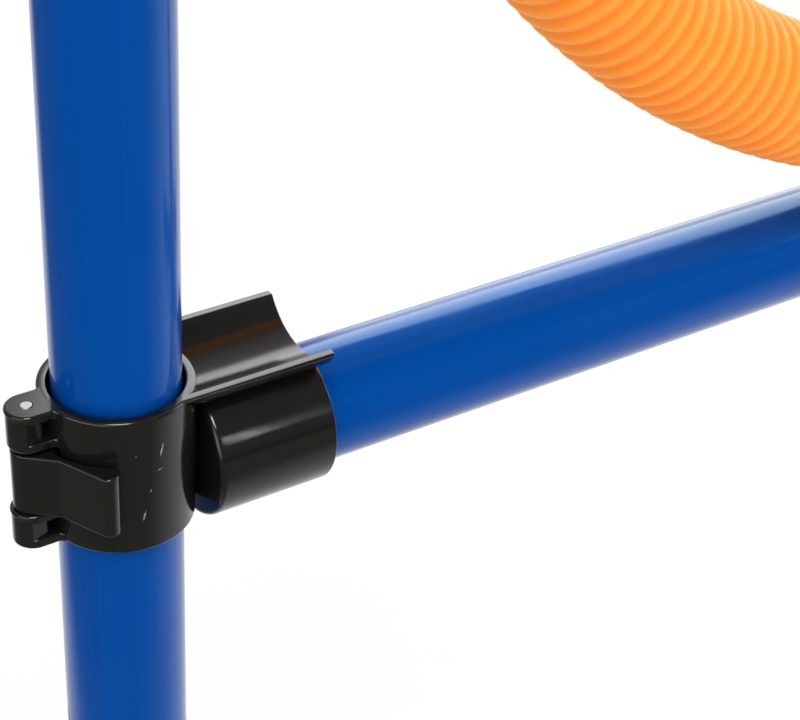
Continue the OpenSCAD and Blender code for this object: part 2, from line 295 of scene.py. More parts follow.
def drum_profile(radius, z0, z1, round0, round1):
    """Profile of a solid drum from z0 to z1, with rounded ends."""
    low = arc((radius - round0, z0 + round0), round0, -90, 0, DRUM_END_STEPS)
    high = arc((radius - round1, z1 - round1), round1, 0, 90, DRUM_END_STEPS)
    cuts = max(1, math.ceil((high[0] - low[-1]).length / DRUM_STEP))
    side = [low[-1].lerp(high[0], k / cuts) for k in range(1, cuts)]
    return low + side + high


def slab(name, outline, z0, z1, edge, top_edge=None, turn=None):
    """Counter-clockwise outline raised from z0 to z1, with rounded edges at both ends."""
    upper = edge if top_edge is None else top_edge
    turns = [math.pi / 2 * k / CORNER_STEPS for k in range(CORNER_STEPS + 1)]
    levels = [(edge * (1 - math.sin(a)), z0 + edge * (1 - math.cos(a))) for a in turns]
    levels += [(upper * (1 - math.sin(a)), z1 - upper * (1 - math.cos(a))) for a in reversed(turns)]
    rings = [[(p.x, p.y, z) for p in inset(outline, depth)] for depth, z in levels]
    return loft(name, rings, turn=turn)


def bake(piece):
    """Applies the piece's modifiers to its mesh."""
    seen = piece.evaluated_get(bpy.context.evaluated_depsgraph_get())
    mesh = bpy.data.meshes.new_from_object(seen)
    piece.modifiers.clear()
    piece.data = mesh
    return piece


def combine(piece, tool, operation):
    """Boolean of a piece with a tool, which is used up."""
    step = piece.modifiers.new("combine", "BOOLEAN")
    step.object = tool
    step.operation = operation
    step.solver = "MANIFOLD"
    bake(piece)
    bpy.data.objects.remove(tool)
    return piece


def join(piece, *tools):
    for tool in tools:
        combine(piece, tool, "UNION")
    return piece


def cut(piece, *tools):
    for tool in tools:
        combine(piece, tool, "DIFFERENCE")
    return piece


def merge_points(piece):
    """Merges the near-coincident points that cutting and joining leave."""
    clean = bmesh.new()
    clean.from_mesh(piece.data)
    bmesh.ops.remove_doubles(clean, verts=clean.verts, dist=POINT_MERGE)
    clean.to_mesh(piece.data)
    clean.free()


def shade(piece):
    """Smooth faces with sharp edges, where large flat faces stay flat."""
    merge_points(piece)
    piece.data.shade_smooth()
    piece.data.set_sharp_from_angle(angle=SMOOTH_ANGLE)
    weights = piece.modifiers.new("weights", "WEIGHTED_NORMAL")
    weights.keep_sharp = True
    return bake(piece)


def rod(radius, z0, z1, segments, turn=None):
    return turned("rod", [(radius, z0), (radius, z1)], segments, turn)


def shift(x, y, z):
    return Matrix.Translation((x, y, z))


AT_PIN = shift(PIN_X, 0, 0)


def dress(piece, material, body, slot, *nodes):
    """Gives a finished piece its material and body, and hides the nodes that it stands for; the slot is not
    used.
    """
    piece.data.materials.clear()
    piece.data.materials.append(material)
    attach(piece, body)
    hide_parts(*nodes)
    return piece


# Materials

BLUE = (0.0, 0.055, 0.283)
BLUE_DEEP = (0.0, 0.048, 0.256)
BLUE_SHINE = (0.12, 0.52, 1.0)
BLACK = (0.0068, 0.0069, 0.0057)
SCUFF = (0.34, 0.34, 0.32)
# Strokes on the lower left collar: two ends (degrees round it, height above the bar's axis) and a width.
# Heights and widths are in millimetres.
SCUFFS = (
    ((-81.5, 17.7), (-85.0, 13.3), 0.55),
    ((-96.3, 0.1), (-99.4, -3.9), 0.55),
    ((-103.2, 15.7), (-103.8, 15.3), 0.5),
    ((-92.0, 5.3), (-93.0, 4.4), 0.5),
    ((-82.0, 10.3), (-87.5, 10.0), 0.3),
)
ORANGE = (1.0, 0.325, 0.048)
# Darker orange, for painted shade in the hose's grooves and bore, and for its random patches of tone
ORANGE_SHADE_AND_PATCH = (1.0, 0.235, 0.026)
STEEL = (0.48, 0.49, 0.51)
STRAP = (0.010, 0.010, 0.011)
STRAP_DARK = (0.006, 0.006, 0.007)
STRAP_PALE = (0.028, 0.028, 0.030)
# Most of a noise lies between these values
NOISE_LOW = 0.3
NOISE_HIGH = 0.7
# Places of the two colours among a mix node's inputs, and of the mixed one among its outputs
MIX_A = 6
MIX_B = 7
MIX_RESULT = 2


def tune(node, values):
    """Sets a node's inputs, by their names or places."""
    for key, value in values.items():
        node.inputs[key].default_value = value


def new_material(name, color, roughness, specular):
    """Principled material with even values, some of which nodes replace."""
    material = bpy.data.materials.new(name)
    material.use_nodes = True
    tree = material.node_tree
    shader = tree.nodes["Principled BSDF"]
    tune(shader, {"Base Color": (*color, 1), "Roughness": roughness, "Specular IOR Level": specular})
    return material, tree, shader


def add(tree, kind, links=None, **settings):
    """Adds a node with its settings, and links its inputs to other nodes' outputs."""
    node = tree.nodes.new(kind)
    for key, value in settings.items():
        setattr(node, key, value)
    for key, source in (links or {}).items():
        tree.links.new(source, node.inputs[key])
    return node


def calc(tree, operation, *values, **settings):
    """Result of an operation on values, each a number or another node's output."""
    node = add(tree, "ShaderNodeMath", operation=operation, **settings)
    for entry, value in zip(node.inputs, values):
        if isinstance(value, (int, float)):
            entry.default_value = value
        else:
            tree.links.new(value, entry)
    return node.outputs[0]


def stretched_noise(tree, scale, detail):
    """Noise in the object's own coordinates, with a scale per metre for each axis."""
    place = add(tree, "ShaderNodeTexCoord")
    stretch = add(tree, "ShaderNodeMapping", {"Vector": place.outputs["Object"]})
    tune(stretch, {"Scale": scale})
    noise = add(tree, "ShaderNodeTexNoise", {"Vector": stretch.outputs["Vector"]})
    tune(noise, {"Scale": 1, "Detail": detail})
    return noise.outputs["Fac"]


def even_noise(tree, scale, detail):
    """Noise with the same scale along every axis."""
    return stretched_noise(tree, (scale, scale, scale), detail)


def span_of(tree, value, low, high, start=NOISE_LOW, end=NOISE_HIGH):
    """Value from start to end, mapped to low to high."""
    node = add(tree, "ShaderNodeMapRange", {"Value": value})
    tune(node, {"From Min": start, "From Max": end, "To Min": low, "To Max": high})
    return node.outputs["Result"]


def mixed(tree, factor, a, b):
    """Colour between a and b."""
    node = add(tree, "ShaderNodeMix", {"Factor": factor}, data_type="RGBA")
    tune(node, {MIX_A: (*a, 1), MIX_B: (*b, 1)})
    return node.outputs[MIX_RESULT]


def bumped(tree, shader, height, strength, distance, under=None):
    """Bump of the shader's surface by a height, over an earlier bump if there is one."""
    node = add(tree, "ShaderNodeBump", {"Height": height})
    tune(node, {"Strength": strength, "Distance": distance})
    if under:
        tree.links.new(under, node.inputs["Normal"])
    tree.links.new(node.outputs["Normal"], shader.inputs["Normal"])
    return node.outputs["Normal"]


def blue_tube(axis):
    """Glossy blue tube, with faint drawing lines along its axis."""
    material, tree, shader = new_material("blue_tube_" + axis, BLUE, roughness=0.14, specular=0.5)
    tune(shader, {"Specular Tint": (*BLUE_SHINE, 1)})
    across = 420
    along = 1.6
    scale = tuple(along if name == axis else across for name in "xyz")
    lines = stretched_noise(tree, scale, detail=2)
    tone = mixed(tree, span_of(tree, lines, low=0, high=1), BLUE, BLUE_DEEP)
    tree.links.new(tone, shader.inputs["Base Color"])
    patches = even_noise(tree, scale=38, detail=4)
    tree.links.new(span_of(tree, patches, low=0.10, high=0.19), shader.inputs["Roughness"])
    bumped(tree, shader, lines, strength=0.06, distance=0.05 * MM)
    return material


def round_collar(tree):
    """Arc length round the lower left upright, and height above its bar's axis, in millimetres."""
    place = add(tree, "ShaderNodeTexCoord")
    local = add(tree, "ShaderNodeVectorMath", {0: place.outputs["Object"]}, operation="SUBTRACT")
    tune(local, {1: CORNER})
    parts = add(tree, "ShaderNodeSeparateXYZ", {0: local.outputs[0]})
    turn = calc(tree, "ARCTAN2", parts.outputs["Y"], parts.outputs["X"])
    unrolled = add(tree, "ShaderNodeCombineXYZ", {"X": turn, "Y": parts.outputs["Z"]})
    sized = add(tree, "ShaderNodeVectorMath", {0: unrolled.outputs[0]}, operation="MULTIPLY")
    tune(sized, {1: (COLLAR_R / MM, 1 / MM, 0)})
    return sized.outputs[0]


def stroke(tree, place, start, end, width):
    """Soft stroke between two points of the unrolled collar."""
    ends = [Vector((math.radians(angle) * COLLAR_R / MM, height, 0)) for angle, height in (start, end)]
    along = ends[1] - ends[0]
    local = add(tree, "ShaderNodeMapping", {"Vector": place}, vector_type="TEXTURE")
    tune(local, {
        "Location": (ends[0] + ends[1]) / 2,
        "Rotation": (0, 0, math.atan2(along.y, along.x)),
        "Scale": (along.length / 2, width / 2, 1),
    })
    far = add(tree, "ShaderNodeVectorMath", {0: local.outputs[0]}, operation="LENGTH")
    return span_of(tree, far.outputs["Value"], low=1, high=0, start=0.3, end=1)


def black_moulding():
    """Glossy black moulding, with shallow sink marks, a slight orange peel and a few worn scuffs."""
    material, tree, shader = new_material("black_moulding", BLACK, roughness=0.13, specular=0.5)
    collar_place = round_collar(tree)
    scuffed = 0
    for start, end, width in SCUFFS:
        scuffed = calc(tree, "MAXIMUM", scuffed, stroke(tree, collar_place, start, end, width))
    flecks = span_of(tree, even_noise(tree, scale=1700, detail=2), low=0, high=1, start=0.35, end=0.6)
    worn = calc(tree, "MULTIPLY", scuffed, flecks)
    tree.links.new(mixed(tree, worn, BLACK, SCUFF), shader.inputs["Base Color"])
    gloss = span_of(tree, even_noise(tree, scale=140, detail=5), low=0.10, high=0.17)
    trough = add(tree, "ShaderNodeAttribute", attribute_name="trough").outputs["Fac"]
    dull = span_of(tree, trough, low=0, high=0.18, start=0, end=1)
    rough = calc(tree, "MAXIMUM", gloss, calc(tree, "MAXIMUM", worn, dull))
    tree.links.new(rough, shader.inputs["Roughness"])
    sinks = even_noise(tree, scale=75, detail=1)
    wavy = bumped(tree, shader, sinks, strength=1, distance=0.06 * MM)
    peel = even_noise(tree, scale=900, detail=1)
    bumped(tree, shader, peel, strength=0.10, distance=0.02 * MM, under=wavy)
    return material


def black_fitting():
    """Satin black moulding with a fine grain."""
    material, tree, shader = new_material("black_fitting", BLACK, roughness=0.42, specular=0.35)
    patches = even_noise(tree, scale=60, detail=4)
    tree.links.new(span_of(tree, patches, low=0.36, high=0.5), shader.inputs["Roughness"])
    grain = even_noise(tree, scale=2400, detail=2)
    bumped(tree, shader, grain, strength=0.25, distance=0.03 * MM)
    return material


def orange_hose():
    """Satin orange hose, a little uneven in colour, with painted shade that darkens its grooves."""
    material, tree, shader = new_material("orange_hose", ORANGE, roughness=0.42, specular=0.05)
    # Painted shade: the groove attribute darkens the colour in the grooves and the bore, and random patches
    # shift it a little
    groove_shade = add(tree, "ShaderNodeAttribute", attribute_name="groove_shade").outputs["Fac"]
    patches = even_noise(tree, scale=55, detail=4)
    uneven = span_of(tree, patches, low=-0.1, high=0.1)
    depth = calc(tree, "ADD", groove_shade, uneven, use_clamp=True)
    tree.links.new(mixed(tree, depth, ORANGE, ORANGE_SHADE_AND_PATCH), shader.inputs["Base Color"])
    tree.links.new(span_of(tree, patches, low=0.36, high=0.48), shader.inputs["Roughness"])
    tune(shader, {
        "Subsurface Weight": 0.8,
        "Subsurface Radius": (1, 0.5, 0.15),
        "Subsurface Scale": 1.5 * MM,
        "Sheen Weight": 0.1,
        "Sheen Roughness": 0.3,
    })
    grain = even_noise(tree, scale=1500, detail=2)
    bumped(tree, shader, grain, strength=0.12, distance=0.03 * MM)
    return material


def pin_steel():
    """Bright zinc-plated steel, finely grained."""
    material, tree, shader = new_material("pin_steel", STEEL, roughness=0.4, specular=0.5)
    tune(shader, {"Metallic": 1})
    grain = even_noise(tree, scale=1800, detail=4)
    tree.links.new(span_of(tree, grain, low=0.3, high=0.5), shader.inputs["Roughness"])
    bumped(tree, shader, grain, strength=0.5, distance=0.04 * MM)
    return material


def black_strap():
    """Black hook-and-loop tape, with ribs and a fuzz of loops."""
    material, tree, shader = new_material("black_strap", STRAP, roughness=0.85, specular=0.25)
    tune(shader, {"Sheen Weight": 0.25, "Sheen Roughness": 0.4})
    fuzz = even_noise(tree, scale=1600, detail=5)
    tone = mixed(tree, span_of(tree, fuzz, low=0, high=1), STRAP_DARK, STRAP_PALE)
    tree.links.new(tone, shader.inputs["Base Color"])
    place = add(tree, "ShaderNodeTexCoord")
    ribs = add(tree, "ShaderNodeTexWave", {"Vector": place.outputs["Object"]}, bands_direction="X")
    tune(ribs, {"Scale": 300, "Distortion": 1.5})
    ribbed = bumped(tree, shader, ribs.outputs["Fac"], strength=0.5, distance=0.15 * MM)
    bumped(tree, shader, fuzz, strength=0.8, distance=0.3 * MM, under=ribbed)
    return material


# Clamp

def collar():
    """Ring round the upright, a little wider at its top."""
    low = COLLAR_BOTTOM
    high = COLLAR_TOP
    corners = [
        (COLLAR_BORE_R, low, BORE_BOTTOM_ROUND), (COLLAR_R - COLLAR_DRAFT, low, RIM_ROUND),
        (COLLAR_R, high, RIM_ROUND), (COLLAR_BORE_R, high, BORE_TOP_ROUND),
    ]
    return lathe("collar", divided(rounded(corners), COLLAR_STEP), CLAMP_SEGMENTS)


def socket():
    """Drum for the crossbar's end, hollowed on top for the gutter."""
    profile = drum_profile(SOCKET_R, SOCKET_X, SOCKET_MOUTH, SOCKET_END_ROUND, EDGE_ROUND)
    piece = turned("socket", profile, CLAMP_SEGMENTS, ALONG_X)
    trough_r = GUTTER_R + GUTTER_WALL / 2
    trough_turn = shift(0, 0, GUTTER_AXIS_Z) @ ALONG_X
    return cut(piece, rod(trough_r, 0, 2 * SOCKET_MOUTH, CLAMP_SEGMENTS, trough_turn))


def gutter():
    """Trough above the socket, with a flat rim on each side."""
    rim = COLLAR_TOP - FACE_STEP
    drop = GUTTER_AXIS_Z - rim
    outer_r = GUTTER_R + GUTTER_WALL
    axis = (0, GUTTER_AXIS_Z)
    inner_half = math.sqrt(GUTTER_R ** 2 - drop ** 2)
    outer_half = math.sqrt(outer_r ** 2 - drop ** 2)
    outer_turn = math.degrees(math.acos(drop / outer_r)) - GUTTER_LEAD
    inner_turn = math.degrees(math.acos(drop / GUTTER_R)) - GUTTER_LEAD
    outer = [(*p, 0) for p in arc(axis, outer_r, -90 - outer_turn, -90 + outer_turn, GUTTER_STEPS)]
    inner = [(*p, 0) for p in arc(axis, GUTTER_R, -90 + inner_turn, -90 - inner_turn, GUTTER_STEPS)]
    right = [(outer_half, rim, EDGE_ROUND), (inner_half, rim, EDGE_ROUND)]
    left = [(-inner_half, rim, EDGE_ROUND), (-outer_half, rim, EDGE_ROUND)]
    section = rounded(outer + right + inner + left)
    piece = slab("gutter", section, 0, SOCKET_MOUTH, GUTTER_END_ROUND, turn=ALONG_X)
    return cut(piece, rod(ROOT_R, -SOCKET_MOUTH, 2 * SOCKET_MOUTH, CLAMP_SEGMENTS))


def ear_outline():
    """Boss round the pin, and a neck that runs into the collar with small fillets."""
    fillet_y = EAR_R + EAR_FILLET
    fillet_x = math.sqrt((COLLAR_R + EAR_FILLET) ** 2 - fillet_y ** 2)
    flare = math.degrees(math.atan2(fillet_y, fillet_x))
    root = polar(ROOT_R, -flare)
    back = [root] + arc((-fillet_x, fillet_y), EAR_FILLET, -flare, -90, CORNER_STEPS)
    front = [Vector((p.x, -p.y)) for p in reversed(back)]
    return back + arc((PIN_X, 0), EAR_R, 90, 270, EAR_STEPS) + front


def ear(z0, z1, low_round):
    """Block round the pin under an overhanging plate, with a round-lipped pocket in its front."""
    outline = ear_outline()
    side = inset(outline, EAR_OVERHANG)
    piece = slab("ear", side, z0, z1 - EAR_PLATE / 2, low_round, FACE_STEP)
    pocket = rounded([
        (POCKET_START, -2 * EAR_R, 0), (-ROOT_R, -2 * EAR_R, 0),
        (-ROOT_R, POCKET_WEB_Y, 0), (POCKET_HOLE, POCKET_WEB_Y, POCKET_ROUND),
        (POCKET_HOLE, POCKET_EDGE_Y, POCKET_ROUND), (POCKET_START, POCKET_START_Y, POCKET_START_ROUND),
    ])
    lip_z0 = z0 + EAR_LIP
    lip_z1 = z1 - EAR_LIP
    cut(piece, slab("pocket", pocket, lip_z0 - EDGE_ROUND, lip_z1 + EDGE_ROUND, FACE_STEP))
    lip = inset(side, FACE_STEP)
    join(
        piece,
        slab("lip", lip, z0 + low_round, lip_z0, EDGE_ROUND),
        slab("lip", lip, lip_z1, z1 - EAR_PLATE / 2 - FACE_STEP, EDGE_ROUND, FACE_STEP),
        slab("plate", outline, z1 - EAR_PLATE, z1, EAR_PLATE_LOW_ROUND, EAR_PLATE_TOP_ROUND),
    )
    return cut(piece, rod(PIN_R + PIN_GAP, z0 - EAR_R, z1 + EAR_R, PIN_SEGMENTS, AT_PIN))


def mark_trough(piece):
    """Marks the points of the gutter's inner face, which is less glossy."""
    trough = piece.data.attributes.new("trough", "FLOAT", "POINT")
    reach = GUTTER_R + FACE_STEP
    for i, vertex in enumerate(piece.data.vertices):
        x, y, z = vertex.co
        inside = x > COLLAR_BORE_R and math.hypot(y, z - GUTTER_AXIS_Z) < reach
        trough.data[i].value = 1 if inside else 0


def clamp_mesh():
    """Collar with socket, gutter and ears, and a window between the ears for the cam."""
    body = collar()
    arm = socket()
    join(arm, gutter())
    cut(arm, rod(SOCKET_BORE_R, SOCKET_SEAT, 2 * SOCKET_MOUTH, CLAMP_SEGMENTS, ALONG_X))
    top = COLLAR_TOP - FACE_STEP
    low = COLLAR_BOTTOM + FACE_STEP
    join(body, arm, ear(top - EAR_TOP_H, top, EAR_ROUND), ear(low, low + EAR_BOTTOM_H, EDGE_ROUND))
    window_z = COLLAR_BOTTOM + EAR_BOTTOM_H
    cut(body, rod(WINDOW_R, window_z, COLLAR_TOP - EAR_TOP_H, WINDOW_SEGMENTS, AT_PIN))
    shade(body)
    mark_trough(body)
    return body


def lever_outline():
    """Hub with a cam lobe, and a bent plate that ends in a round nose."""
    pin = Vector((PIN_X, 0))
    lobe = pin + Vector((CAM_REACH - HUB_R, 0))
    bend = polar(LEVER_BEND_R, LEVER_BEND_ANGLE)
    nose = polar(LEVER_PLATE_R + LEVER_NOSE_R, LEVER_NOSE_ANGLE)
    hub_touch = touch_point(bend, pin, HUB_R, 1)
    nose_touch = touch_point(bend, nose, LEVER_NOSE_R, -1)
    # Where the plate's inner face meets the lobe
    far = lobe.length
    reach = (far ** 2 + HUB_R ** 2 - LEVER_PLATE_R ** 2) / (2 * far * HUB_R)
    lobe_start = -math.degrees(math.acos(reach))
    meet = arc(lobe, HUB_R, lobe_start, lobe_start, 1)[0]
    inner_end = math.degrees(math.atan2(-meet.y, -meet.x))
    hub = arc(pin, HUB_R, 90, angle_of(hub_touch, pin) % 360, HUB_STEPS)
    corner = rounded([(*hub_touch, 0), (*bend, LEVER_BEND_ROUND), (*nose_touch, 0)])[1:-1]
    nose_arc = arc(nose, LEVER_NOSE_R, angle_of(nose_touch, nose), LEVER_NOSE_ANGLE, NOSE_STEPS)
    sweep = inner_end - LEVER_NOSE_ANGLE
    turns = [LEVER_NOSE_ANGLE + sweep * k / PLATE_STEPS for k in range(1, PLATE_STEPS + 1)]
    inner = [polar(LEVER_PLATE_R, a) for a in turns]
    cam = arc(lobe, HUB_R, lobe_start, 90, CAM_STEPS)[1:]
    return hub + corner + nose_arc + inner + cam


def lever_mesh():
    piece = slab("lever", lever_outline(), LEVER_BOTTOM, LEVER_TOP, LEVER_EDGE)
    hole = rod(PIN_R + LEVER_PIN_GAP, 2 * COLLAR_BOTTOM, 2 * COLLAR_TOP, PIN_SEGMENTS, AT_PIN)
    return shade(cut(piece, hole))


def pin_mesh():
    low = COLLAR_BOTTOM - PIN_STAND_OUT
    high = COLLAR_TOP + PIN_STAND_OUT
    return shade(turned("pin", drum_profile(PIN_R, low, high, PIN_ROUND, PIN_ROUND), PIN_SEGMENTS, AT_PIN))


def copy_of(piece, name, place):
    """Copy of a piece whose points lie at their place."""
    mesh = piece.data.copy()
    mesh.transform(place)
    twin = bpy.data.objects.new(name, mesh)
    bpy.context.scene.collection.objects.link(twin)
    return twin


def add_clamps(moulding, steel):
    """Clamp, lever and pin at each corner, half a turn round on the right."""
    models = {"clamp": clamp_mesh(), "lever": lever_mesh(), "pin": pin_mesh()}
    for level in LEVELS:
        for side, sign in SIDES.items():
            corner = level + "_" + side
            place = shift(sign * HALF_SPAN, 0, BAR_Z[level])
            if sign > 0:
                place = place @ Matrix.Rotation(math.pi, 4, "Z")
            for kind, model in models.items():
                node = corner + "_" + kind
                body = corner + "_cam" if kind == "lever" else "carriage"
                piece = copy_of(model, node + "_piece", place)
                if kind == "pin":
                    dress(piece, steel, body, "pin_steel", node)
                else:
                    dress(piece, moulding, body, "black_moulding", node)
    for model in models.values():
        bpy.data.objects.remove(model)


# Hose

STRAIGHT_HALF = COUPLER_STOP / 2 + 2 * HOSE_R
CORNER_OFFSET = STRAIGHT_HALF / math.sin(STRAIGHTEN_ANGLE)
CORNER_R = RING_R - CORNER_OFFSET
RING_TOP = CORNER_OFFSET * math.cos(STRAIGHTEN_ANGLE) + CORNER_R
ARC_LEN = RING_R * (math.pi - STRAIGHTEN_ANGLE)
CORNER_LEN = CORNER_R * STRAIGHTEN_ANGLE
HOSE_HALF = ARC_LEN + CORNER_LEN + 2 * HOSE_R


def hose_place(length):
    """Place and heading of the hose's middle, at a length from the ring's lowest point."""
    sign = math.copysign(1, length)
    far = abs(length)
    if far < ARC_LEN:
        turn = far / RING_R
        return sign * RING_R * math.sin(turn), -RING_R * math.cos(turn), sign * turn
    if far < ARC_LEN + CORNER_LEN:
        turn = math.pi - STRAIGHTEN_ANGLE + (far - ARC_LEN) / CORNER_R
        x = CORNER_OFFSET * math.sin(STRAIGHTEN_ANGLE) + CORNER_R * math.sin(turn)
        z = CORNER_OFFSET * math.cos(STRAIGHTEN_ANGLE) - CORNER_R * math.cos(turn)
        return sign * x, z, sign * turn
    return sign * (STRAIGHT_HALF - (far - ARC_LEN - CORNER_LEN)), RING_TOP, sign * math.pi


def hose_ring(length, radius):
    """Points round the hose's middle, at a length from the ring's lowest point."""
    x, z, heading = hose_place(length)
    ring = []
    for k in range(HOSE_SIDES):
        a = math.tau * k / HOSE_SIDES
        out = radius * math.cos(a)
        ring.append((
            x + out * math.sin(heading),
            HOSE_PLANE_Y + radius * math.sin(a),
            RING_Z + z - out * math.cos(heading),
        ))
    return ring


def add_hose(material):
    """Hose with round ribs and its bore. The mesh holds the painted shade of each point, full in the grooves
    and the bore.
    """
    ribs = round(2 * HOSE_HALF / RIB_PITCH)
    rings_per_rib = 8
    crest_power = 1.8
    steps = ribs * rings_per_rib
    turns = [math.pi * i / rings_per_rib for i in range(steps + 1)]
    depths = [1 - abs(math.sin(a)) ** crest_power for a in turns]
    rings = []
    for i, depth in enumerate(depths):
        rings.append(hose_ring(HOSE_HALF * (2 * i / steps - 1), HOSE_R - GROOVE_DEPTH * depth))
    bore_r = HOSE_R - GROOVE_DEPTH - HOSE_WALL
    bore_rings = 72
    rings += [hose_ring(HOSE_HALF * (1 - 2 * i / bore_rings), bore_r) for i in range(bore_rings + 1)]
    piece = loft("ribbed_hose", rings, loop=True)
    piece.data.shade_smooth()
    groove_shade = piece.data.attributes.new("groove_shade", "FLOAT", "POINT")
    # Painted shade: full at the bottom of each groove and in the bore, none on the crests
    painted_shades = [math.cos(a) ** 2 for a in turns] + [1] * (bore_rings + 1)
    groove_shade.data.foreach_set("value", [tone for tone, ring in zip(painted_shades, rings) for _ in ring])
    dress(piece, material, "carriage", "orange_hose", "ring_hose")


# Straps

TAPE_W = extent("lower_strap").x
TAPE_T = 1.1 * MM
TAPE_SEAT = 0.25 * MM
# Waves in the tape's lie and in its width, and how many there are round a loop
TAPE_WAVE = 0.12 * MM
LIE_WAVES = 3
WIDTH_WAVES = 5
TAPE_LAPPED_T = 1.9 * MM
# Rounding of a tape's edges, as a share of its thickness
TAPE_EDGE = 0.45
# The lapped end is a thinner tape that rises onto the first turn, thins to a share towards both
# its ends and narrows at its tip. Its rates and the tip's start and length count along it, from 0 to 1.
TAIL_T = TAPE_T * 0.8
TAIL_LIFT = TAPE_T * 0.9
TAIL_LIFT_RATE = 12
TAIL_END_SHARE = 0.35
TAIL_END_RATE = 8
TAIL_TIP_START = 0.9
TAIL_TIP_LENGTH = 0.1
TAIL_TIP_NARROWING = 0.35
# Start and sweep of a lapped end, in degrees round its loop
BAR_TAIL = (200, 150)
RING_TAILS = {"lower": (100, 130), "upper": (240, 130)}


def tape_ring(centre, radius, turn, thick, half_width):
    """Section of a tape across its width, with rounded edges."""
    edge = TAPE_EDGE * thick
    section = rounded([
        (-half_width, 0, edge), (half_width, 0, edge), (half_width, thick, edge), (-half_width, thick, edge),
    ], TAPE_EDGE_STEPS)
    ring = []
    for p in section:
        reach = radius + p.y
        ring.append((p.x, centre[0] + reach * math.cos(turn), centre[1] + reach * math.sin(turn)))
    return ring


def tape_loop(name, centre, radius, tail_start, tail_sweep):
    """Tape wound once round, with its end lapped over its start."""
    half = TAPE_W / 2
    base_steps = 96
    base = []
    for k in range(base_steps):
        a = math.tau * k / base_steps
        wander = TAPE_WAVE * (1 + math.sin(LIE_WAVES * a + radius / MM))
        half_width = half - TAPE_WAVE * (1 + math.sin(WIDTH_WAVES * a))
        base.append(tape_ring(centre, radius + wander, a, TAPE_T, half_width))
    piece = loft(name, base, loop=True)
    tail_steps = 36
    tail = []
    for k in range(tail_steps + 1):
        share = k / tail_steps
        a = math.radians(tail_start) + math.radians(tail_sweep) * share
        lift = TAIL_LIFT * min(1, TAIL_LIFT_RATE * share)
        thick = TAIL_T * min(1, TAIL_END_SHARE + TAIL_END_RATE * min(share, 1 - share))
        tip = max(0, (share - TAIL_TIP_START) / TAIL_TIP_LENGTH)
        half_width = (half - 2 * TAPE_WAVE) * (1 - TAIL_TIP_NARROWING * tip ** 2)
        tail.append(tape_ring(centre, radius + lift, a, thick, half_width))
    return join(piece, loft(name + "_tail", tail))


def add_strap(level, material):
    """Two loops of tape, one round the crossbar and one round the ring."""
    node = level + "_strap"
    low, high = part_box(node)
    bar_loop = tape_loop(node + "_piece", (0, BAR_Z[level]), TUBE_R + TAPE_SEAT, *BAR_TAIL)
    ring_r = (high.y - low.y) / 2
    ring_z = high.z - ring_r if level == "lower" else low.z + ring_r
    ring_loop = tape_loop("ring_loop", (HOSE_PLANE_Y, ring_z), ring_r - TAPE_LAPPED_T, *RING_TAILS[level])
    piece = shade(join(bar_loop, ring_loop))
    dress(piece, material, "carriage", "black_strap", node)


# Feet

TEE_GAP = 0.1 * MM
TEE_ROUND = 1.2 * MM
SOLE_HALF = 12 * MM
SOLE_EDGE = 0.4 * MM


def tee_mesh():
    """Sleeve for two foot tubes on a flat sole, with a riser for the upright."""
    low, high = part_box("left_tee")
    sleeve_r = (high.x - low.x) / 2
    reach = (high.y - low.y) / 2
    foot_z = middle("left_front_foot_tube").z
    at_foot = shift(0, 0, foot_z)
    sleeve = drum_profile(sleeve_r, -reach, reach, TEE_ROUND, TEE_ROUND)
    riser = drum_profile(sleeve_r, foot_z, high.z, TEE_ROUND, TEE_ROUND)
    sole_end = reach - TEE_ROUND
    sole = rounded([
        (-SOLE_HALF, -sole_end, TEE_ROUND), (SOLE_HALF, -sole_end, TEE_ROUND),
        (SOLE_HALF, sole_end, TEE_ROUND), (-SOLE_HALF, sole_end, TEE_ROUND),
    ])
    piece = turned("tee", sleeve, TEE_SEGMENTS, at_foot @ ALONG_Y)
    join(piece, turned("riser", riser, TEE_SEGMENTS), slab("sole", sole, 0, foot_z, SOLE_EDGE))
    bore_r = TUBE_R + TEE_GAP
    upright_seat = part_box("left_upright")[0].z
    cut(piece, rod(bore_r, upright_seat, 2 * high.z, TEE_SEGMENTS))
    foot_seat = -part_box("left_front_foot_tube")[1].y
    for end in (0, math.pi):
        turn = at_foot @ Matrix.Rotation(end, 4, "Z") @ ALONG_Y
        cut(piece, rod(bore_r, foot_seat, 2 * reach, TEE_SEGMENTS, turn))
    return shade(piece)


def add_tees(material):
    model = tee_mesh()
    for side, sign in SIDES.items():
        piece = copy_of(model, side + "_tee_piece", shift(sign * HALF_SPAN, 0, 0))
        dress(piece, material, "stand", "black_fitting", side + "_tee")
    bpy.data.objects.remove(model)


# Nodes that keep their solids

def paint_nodes(tubes, fitting):
    """Gives the tubes, caps and coupler their materials."""
    for name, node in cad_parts.items():
        if "upright_cap" in name or "foot_cap" in name or "coupler" in name:
            material = fitting
        elif "upright" in name:
            material = tubes["z"]
        elif "crossbar" in name:
            material = tubes["x"]
        elif "foot_tube" in name:
            material = tubes["y"]
        else:
            continue
        node.data.materials.clear()
        node.data.materials.append(material)


# Stage

CAMERA_PLACE = Vector((-0.4590, -0.3536, 0.5982))
CAMERA_AIM = Vector((-0.2119, 0.0, 0.3039))
CAMERA_ROLL = math.radians(3.45)
CAMERA_LENS = 93.52
SENSOR_W = 36
# How white the floor looks to the camera, and the pale background in gloss
FLOOR_WHITE = 0.82
GLOSSY_WHITE = 0.7
FLOOR_HALF = 40
FLOOR_PALE = (0.86, 0.86, 0.86)
FLOOR_DIM = (0.14, 0.14, 0.125)
